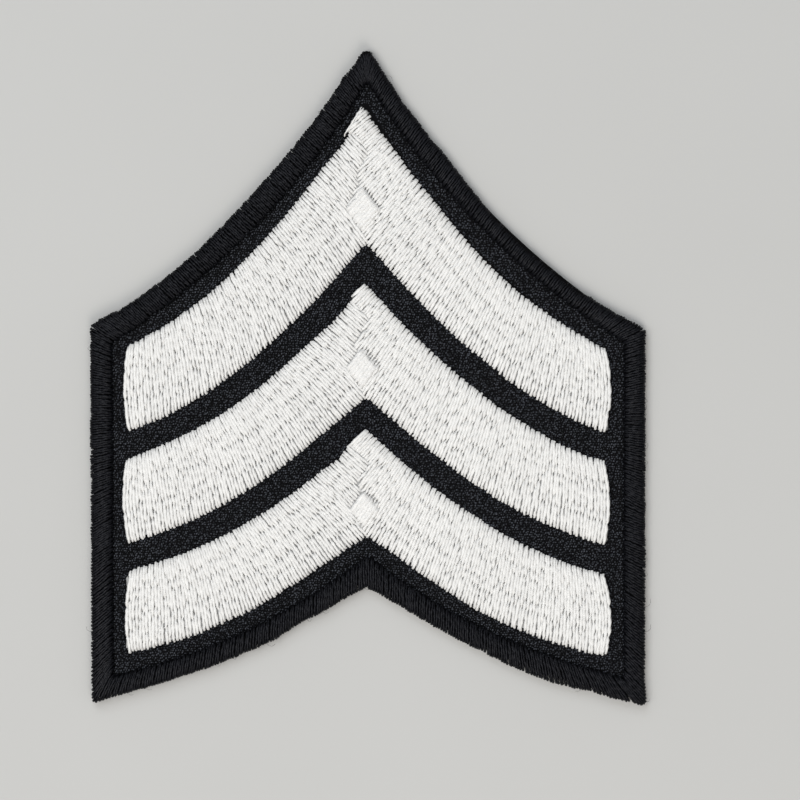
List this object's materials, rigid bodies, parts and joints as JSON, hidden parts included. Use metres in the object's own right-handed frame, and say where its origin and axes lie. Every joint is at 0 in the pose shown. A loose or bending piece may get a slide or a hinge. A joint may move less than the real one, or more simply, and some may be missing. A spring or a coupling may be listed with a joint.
{
  "type": "rank chevron patch",
  "caption": "Flat embroidered sleeve patch: black cloth with a pointed top and a notched foot, a raised stitched border, and white chevrons with a left and a right arm.",
  "frame": {"origin": "middle of the patch's width and length, on its flat back", "axes": "+Z out of the stitched face, +Y towards the point, +X to the right of someone who looks at the face"},
  "size_m": [0.0684, 0.0806, 0.002],
  "materials": {
    "black_cloth": "matt black twill with a fine dotted weave",
    "black_thread": "black embroidery thread with a soft sheen",
    "white_thread": "white embroidery thread with a soft sheen"
  },
  "bodies": {
    "root": {"ground_cloth": "black_cloth", "border": "black_thread", "upper_left_arm": "white_thread", "upper_right_arm": "white_thread", "middle_left_arm": "white_thread", "middle_right_arm": "white_thread", "lower_left_arm": "white_thread", "lower_right_arm": "white_thread"}
  },
  "joints": []
}
